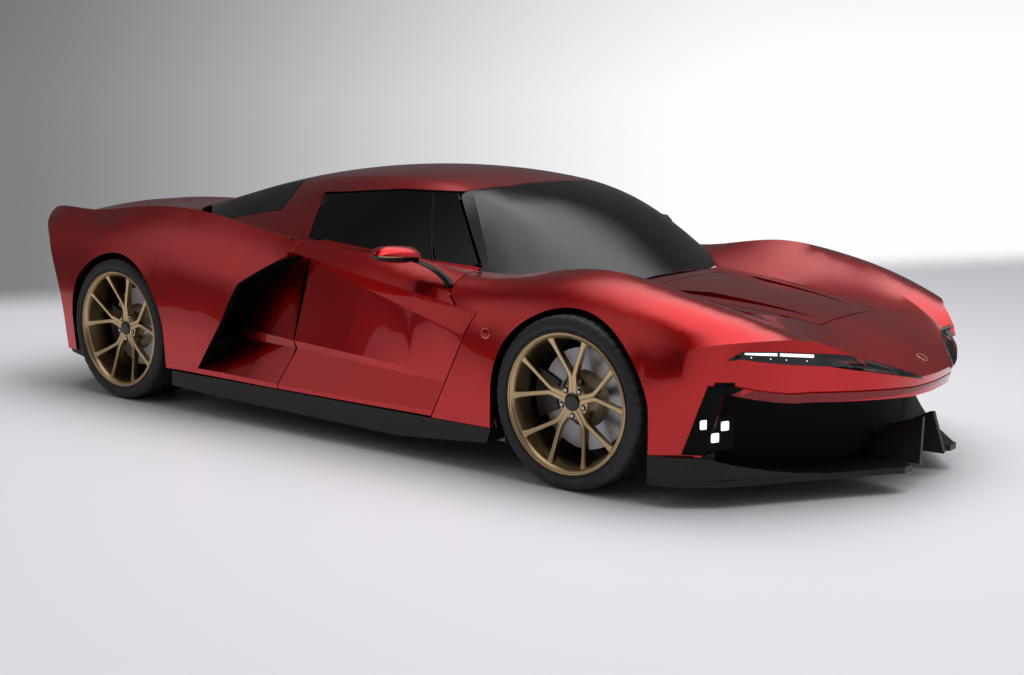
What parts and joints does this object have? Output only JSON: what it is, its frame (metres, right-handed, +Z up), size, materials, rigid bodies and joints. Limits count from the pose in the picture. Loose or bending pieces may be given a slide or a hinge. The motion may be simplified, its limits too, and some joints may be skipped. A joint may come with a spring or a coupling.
{
  "type": "mid-engined supercar",
  "caption": "Low two-seat mid-engined supercar with scooped doors, long beak nose, open front mouth and spoked wheels.",
  "frame": {"origin": "on the ground under the middle of the car's bounding box", "axes": "+X forward, +Y to the car's left, +Z up"},
  "size_m": [4.5594, 2.19, 1.1484],
  "materials": {
    "paint": "glossy clear coat over deep red",
    "black_panel": "satin black",
    "screen": "dark tinted glass",
    "lamp_glass": "clear lens",
    "red_lens": "red lens",
    "tyre": "matt",
    "gold": "satin gold",
    "iron": "machined",
    "caliper": "satin black",
    "metal": "satin",
    "steel": "brushed",
    "trim": "matt"
  },
  "bodies": {
    "body": {"roof": "paint", "front_clam": "paint", "rear_clam": "paint", "screen_frame": "black_panel", "mouth_panel": "black_panel", "splitter": "black_panel", "skirts": "black_panel", "intakes": "black_panel", "rear_fascia": "black_panel", "diffuser": "black_panel", "windscreen": "screen", "headlamp_right": "lamp_glass", "headlamp_left": "lamp_glass", "tail_lamp": "red_lens", "exhausts": "steel", "tub": "metal", "engine": "metal", "front_arms": "metal", "rear_arms": "metal", "seats": "trim", "dashboard": "trim", "steering_wheel": "trim", "caliper_rear_right": "caliper", "knuckle_rear_right": "metal", "caliper_rear_left": "caliper", "knuckle_rear_left": "metal"},
    "door_right": {"door_right": "paint", "door_glass_right": "screen", "mirror_right": "paint"},
    "door_left": {"door_left": "paint", "door_glass_left": "screen", "mirror_left": "paint"},
    "bonnet_lid": {"bonnet_lid": "paint"},
    "engine_cover": {"engine_cover": "screen"},
    "steer_right": {"knuckle_front_right": "metal", "caliper_front_right": "caliper"},
    "steer_left": {"knuckle_front_left": "metal", "caliper_front_left": "caliper"},
    "wheel_front_right": {"tyre_front_right": "tyre", "rim_front_right": "gold", "disc_front_right": "iron"},
    "wheel_front_left": {"tyre_front_left": "tyre", "rim_front_left": "gold", "disc_front_left": "iron"},
    "wheel_rear_right": {"tyre_rear_right": "tyre", "rim_rear_right": "gold", "disc_rear_right": "iron"},
    "wheel_rear_left": {"tyre_rear_left": "tyre", "rim_rear_left": "gold", "disc_rear_left": "iron"}
  },
  "joints": [
    {"name": "steer_right", "type": "hinge", "parent": "body", "child": "steer_right", "pos_m": [1.235, -0.802, 0.3325], "axis": [0, 0, 1], "range_deg": [-30, 30]},
    {"name": "steer_left", "type": "hinge", "parent": "body", "child": "steer_left", "pos_m": [1.235, 0.802, 0.3325], "axis": [0, 0, 1], "range_deg": [-30, 30]},
    {"name": "spin_front_right", "type": "hinge", "parent": "steer_right", "child": "wheel_front_right", "pos_m": [1.235, -0.8725, 0.3325], "axis": [0, 1, 0], "continuous": true},
    {"name": "spin_front_left", "type": "hinge", "parent": "steer_left", "child": "wheel_front_left", "pos_m": [1.235, 0.8725, 0.3325], "axis": [0, 1, 0], "continuous": true},
    {"name": "spin_rear_right", "type": "hinge", "parent": "body", "child": "wheel_rear_right", "pos_m": [-1.465, -0.8455, 0.345], "axis": [0, 1, 0], "continuous": true},
    {"name": "spin_rear_left", "type": "hinge", "parent": "body", "child": "wheel_rear_left", "pos_m": [-1.465, 0.8455, 0.345], "axis": [0, 1, 0], "continuous": true},
    {"name": "door_right", "type": "hinge", "parent": "body", "child": "door_right", "pos_m": [0.794, -1.012, 0.626], "axis": [-0.2079, 0, 0.9781], "range_deg": [0, 60]},
    {"name": "door_left", "type": "hinge", "parent": "body", "child": "door_left", "pos_m": [0.794, 1.012, 0.626], "axis": [-0.2079, 0, 0.9781], "range_deg": [-60, 0]},
    {"name": "bonnet_lid", "type": "hinge", "parent": "body", "child": "bonnet_lid", "pos_m": [1.177, 0, 0.745], "axis": [0, 1, 0], "range_deg": [-60, 0]},
    {"name": "engine_cover", "type": "hinge", "parent": "body", "child": "engine_cover", "pos_m": [-0.684, 0, 1.14], "axis": [0, 1, 0], "range_deg": [0, 50]}
  ],
  "couplings": [
    {"joint": "steer_left", "follows": "steer_right", "ratio": 1}
  ]
}
